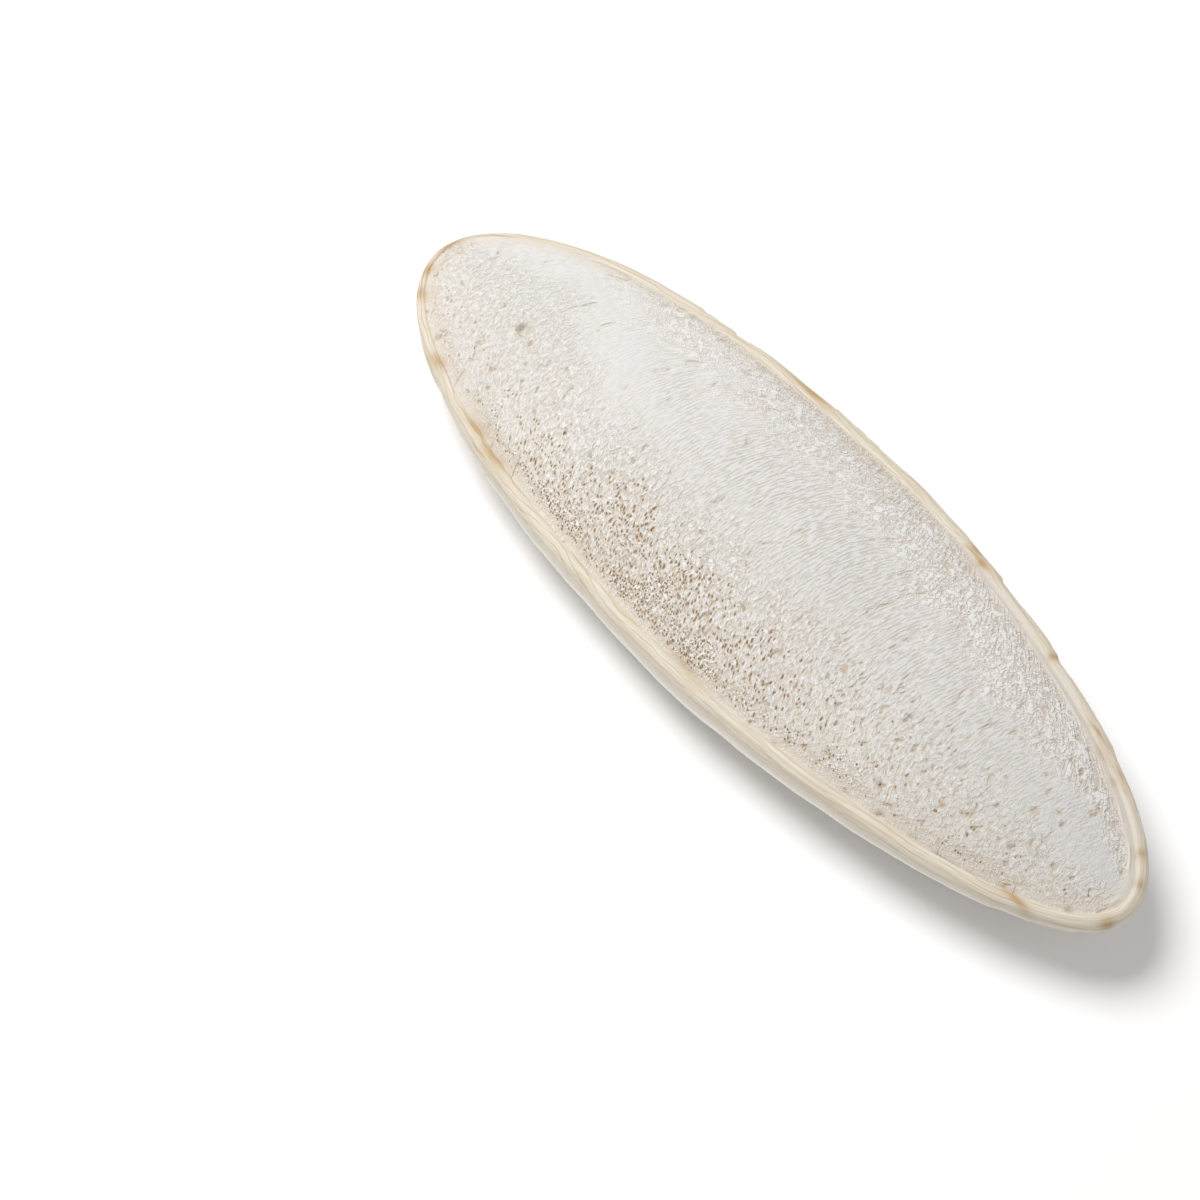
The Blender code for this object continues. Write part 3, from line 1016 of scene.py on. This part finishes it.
# Painted shade: the hollows between granules and between growth arcs on the lower side and back are painted
# darker and yellower.
low = tree.ramp(over_edge, *LOW_BEGINS)
shaded = tree.product(tree.total(tree.product(hollows, 0.4), tree.product(arcs, 0.3)), low)
shield = tree.blend(tree.ramp(over_edge, *SHIELD_BEGINS), horn, SHIELD)
shield = tree.blend(shaded, shield, SHIELD_HOLLOW_SHADE)

# The horn thins out over the chalk in a frayed edge, and reaches farther over it on the +Y side.
frayed = tree.between(tree.noise(zone.place, FRAY_SIZE, detail=3.0), -FRAY, FRAY)
frayed = tree.shifted(frayed, tree.ramp(zone.narrow_side, *MARGIN_BEGINS), MARGIN_FRAY)
begins = tree.between(tree.ramp(tree.number("across"), *SIDES), *HORN_OVERLAP)
on_horn = tree.ramp(tree.total(zone.past_edge, frayed), begins, HORN_WHOLE)
tree.feed(shader.inputs["Base Color"], tree.blend(on_horn, chalk, shield))
tree.feed(shader.inputs["Roughness"], tree.between(on_horn, CHALK_ROUGHNESS, HORN_ROUGHNESS))

chalk_relief = [
    tree.product(marks[name], height)
    for name, height in (
        ("lines", 0.070),
        ("grooves", tree.between(zone.browned, 0.145, 0.095)),
        ("pores", 0.080),
        ("crust", 0.095),
        ("dimples", 0.070),
        ("cracks", 0.060),
        ("lip", -0.060),
    )
]
powder = tree.product(tree.noise(zone.place, 0.22), 0.060)
on_side = tree.product(on_horn, tree.less(low))
relief = tree.total(
    tree.product(tree.total(*chalk_relief, powder), tree.less(on_horn)),
    tree.product(layer, on_side, 0.05),
    tree.product(streaks, on_side, 0.04),
    tree.product(hollows, low, 0.10),
    tree.product(arcs, low, 0.12),
)
bump = material.node_tree.nodes.new("ShaderNodeBump")
bump.inputs["Distance"].default_value = BUMP_HEIGHT
tree.feed(bump.inputs["Height"], tree.product(relief, -1.0))
tree.feed(shader.inputs["Normal"], bump.outputs[0])

carved = bone.modifiers.new("carving", "NODES")
carved.node_group = carving
for identifier, depth in depth_inputs.items():
    carved[identifier] = depth
carved[material_input.identifier] = material
plain = bpy.data.meshes.new_from_object(bone.evaluated_get(bpy.context.evaluated_depsgraph_get()))
bone.modifiers.clear()
bone.data = plain
plain.shade_smooth()

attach(bone, "root")
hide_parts("cuttlebone")

# The floor, the light and the camera
#
# A plain white floor under an even white sky, with one large soft lamp high up beyond the blunt end.
FLOOR_REACH = 3.0
FLOOR_WHITE = (0.96, 0.955, 0.95, 1.0)
SKY = 0.47
LAMP_PLACE = Vector((-0.50, -0.08, 0.88))
LAMP_SIZE = 0.60
LAMP_POWER = 8.60

floor_corners = [(x * FLOOR_REACH, y * FLOOR_REACH, 0.0) for x, y in ((-1, -1), (1, -1), (1, 1), (-1, 1))]
floor_mesh = bpy.data.meshes.new("floor")
floor_mesh.from_pydata(floor_corners, [], [(0, 1, 2, 3)])
floor = bpy.data.objects.new("floor", floor_mesh)
bpy.context.scene.collection.objects.link(floor)
paint = bpy.data.materials.new("floor")
paint.use_nodes = True
paint.node_tree.nodes["Principled BSDF"].inputs["Base Color"].default_value = FLOOR_WHITE
paint.node_tree.nodes["Principled BSDF"].inputs["Roughness"].default_value = 1.0
floor_mesh.materials.append(paint)
floor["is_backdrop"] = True

world = bpy.data.worlds.new("studio")
bpy.context.scene.world = world
world.use_nodes = True
world.node_tree.nodes["Background"].inputs["Color"].default_value = (1.0, 1.0, 1.0, 1.0)
world.node_tree.nodes["Background"].inputs["Strength"].default_value = SKY

lamp = bpy.data.lights.new("lamp", "AREA")
lamp.shape = "DISK"
lamp.size = LAMP_SIZE
lamp.energy = LAMP_POWER
hung = bpy.data.objects.new("lamp", lamp)
hung.location = LAMP_PLACE
hung.rotation_euler = (-LAMP_PLACE).to_track_quat("-Z", "Y").to_euler()
bpy.context.scene.collection.objects.link(hung)

CAMERA_AZIMUTH = math.radians(51.28)      # from -Y towards +X
CAMERA_ELEVATION = math.radians(56.0)
CAMERA_AIM = Vector((-0.0085, -0.0271, 0.013))
CAMERA_DISTANCE = 0.4448
CAMERA_LENS = 85.0

lens = bpy.data.cameras.new("camera")
lens.lens = CAMERA_LENS
lens.sensor_width = 36.0
lens.clip_start = 0.01
camera = bpy.data.objects.new("camera", lens)
bpy.context.scene.collection.objects.link(camera)
back = Vector((
    math.sin(CAMERA_AZIMUTH) * math.cos(CAMERA_ELEVATION),
    -math.cos(CAMERA_AZIMUTH) * math.cos(CAMERA_ELEVATION),
    math.sin(CAMERA_ELEVATION),
))
right = Vector((math.cos(CAMERA_AZIMUTH), math.sin(CAMERA_AZIMUTH), 0.0))
stance = Matrix((right, back.cross(right), back)).transposed()
camera.matrix_world = Matrix.Translation(CAMERA_AIM + back * CAMERA_DISTANCE) @ stance.to_4x4()
bpy.context.scene.camera = camera
bpy.context.scene.view_settings.view_transform = "Standard"

low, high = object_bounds()
